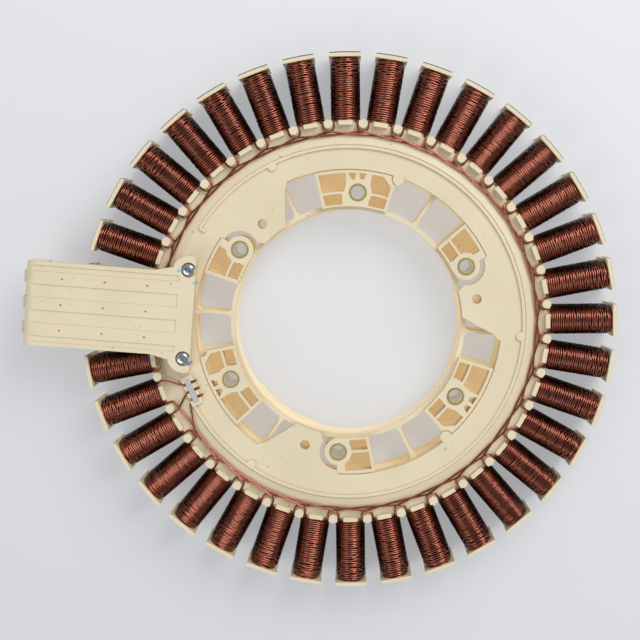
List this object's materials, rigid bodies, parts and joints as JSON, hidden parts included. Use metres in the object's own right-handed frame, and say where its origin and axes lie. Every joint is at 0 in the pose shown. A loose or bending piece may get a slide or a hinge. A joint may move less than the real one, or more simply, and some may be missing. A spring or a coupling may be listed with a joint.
{
  "type": "wound stator with its lamination stack",
  "caption": "Ring stator of an outer-rotor motor: steel tooth stack between moulded insulators, a coil on each tooth, sleeved bosses inside and a connector arm.",
  "frame": {"origin": "on the stator's axis, in the plane of the mounting sleeves' ends", "axes": "+Z out of the mounting plane, away from the core; the connector arm points along -X"},
  "size_m": [0.2959, 0.2678, 0.038],
  "materials": {
    "core_steel": "stamped laminations, dull",
    "cream_plastic": "moulded, satin",
    "enamelled_wire": "dark red enamel, glossy",
    "plated_steel": "yellow zinc plate",
    "zinc_screw": "bright zinc plate",
    "tinned_crimp": "dull tin",
    "tinned_brass": "tin plate"
  },
  "bodies": {
    "root": {"lamination_core": "core_steel", "upper_insulator": "cream_plastic", "lower_insulator": "cream_plastic", "connector_arm": "cream_plastic", "neutral_crimp": "tinned_crimp", "coil_01": "enamelled_wire", "coil_02": "enamelled_wire", "coil_03": "enamelled_wire", "coil_04": "enamelled_wire", "coil_05": "enamelled_wire", "coil_06": "enamelled_wire", "coil_07": "enamelled_wire", "coil_08": "enamelled_wire", "coil_09": "enamelled_wire", "coil_10": "enamelled_wire", "coil_11": "enamelled_wire", "coil_12": "enamelled_wire", "coil_13": "enamelled_wire", "coil_14": "enamelled_wire", "coil_15": "enamelled_wire", "coil_16": "enamelled_wire", "coil_17": "enamelled_wire", "coil_18": "enamelled_wire", "coil_19": "enamelled_wire", "coil_20": "enamelled_wire", "coil_21": "enamelled_wire", "coil_22": "enamelled_wire", "coil_23": "enamelled_wire", "coil_24": "enamelled_wire", "coil_25": "enamelled_wire", "coil_26": "enamelled_wire", "coil_27": "enamelled_wire", "coil_28": "enamelled_wire", "coil_29": "enamelled_wire", "coil_30": "enamelled_wire", "coil_31": "enamelled_wire", "coil_32": "enamelled_wire", "coil_33": "enamelled_wire", "coil_34": "enamelled_wire", "coil_35": "enamelled_wire", "coil_36": "enamelled_wire", "phase_wires_1": "enamelled_wire", "phase_wires_2": "enamelled_wire", "phase_wires_3": "enamelled_wire", "mounting_sleeve_1": "plated_steel", "mounting_sleeve_2": "plated_steel", "mounting_sleeve_3": "plated_steel", "mounting_sleeve_4": "plated_steel", "mounting_sleeve_5": "plated_steel", "mounting_sleeve_6": "plated_steel", "phase_terminal_1": "tinned_brass", "phase_terminal_2": "tinned_brass", "phase_terminal_3": "tinned_brass", "arm_screw_1": "zinc_screw", "arm_screw_2": "zinc_screw"}
  },
  "joints": []
}
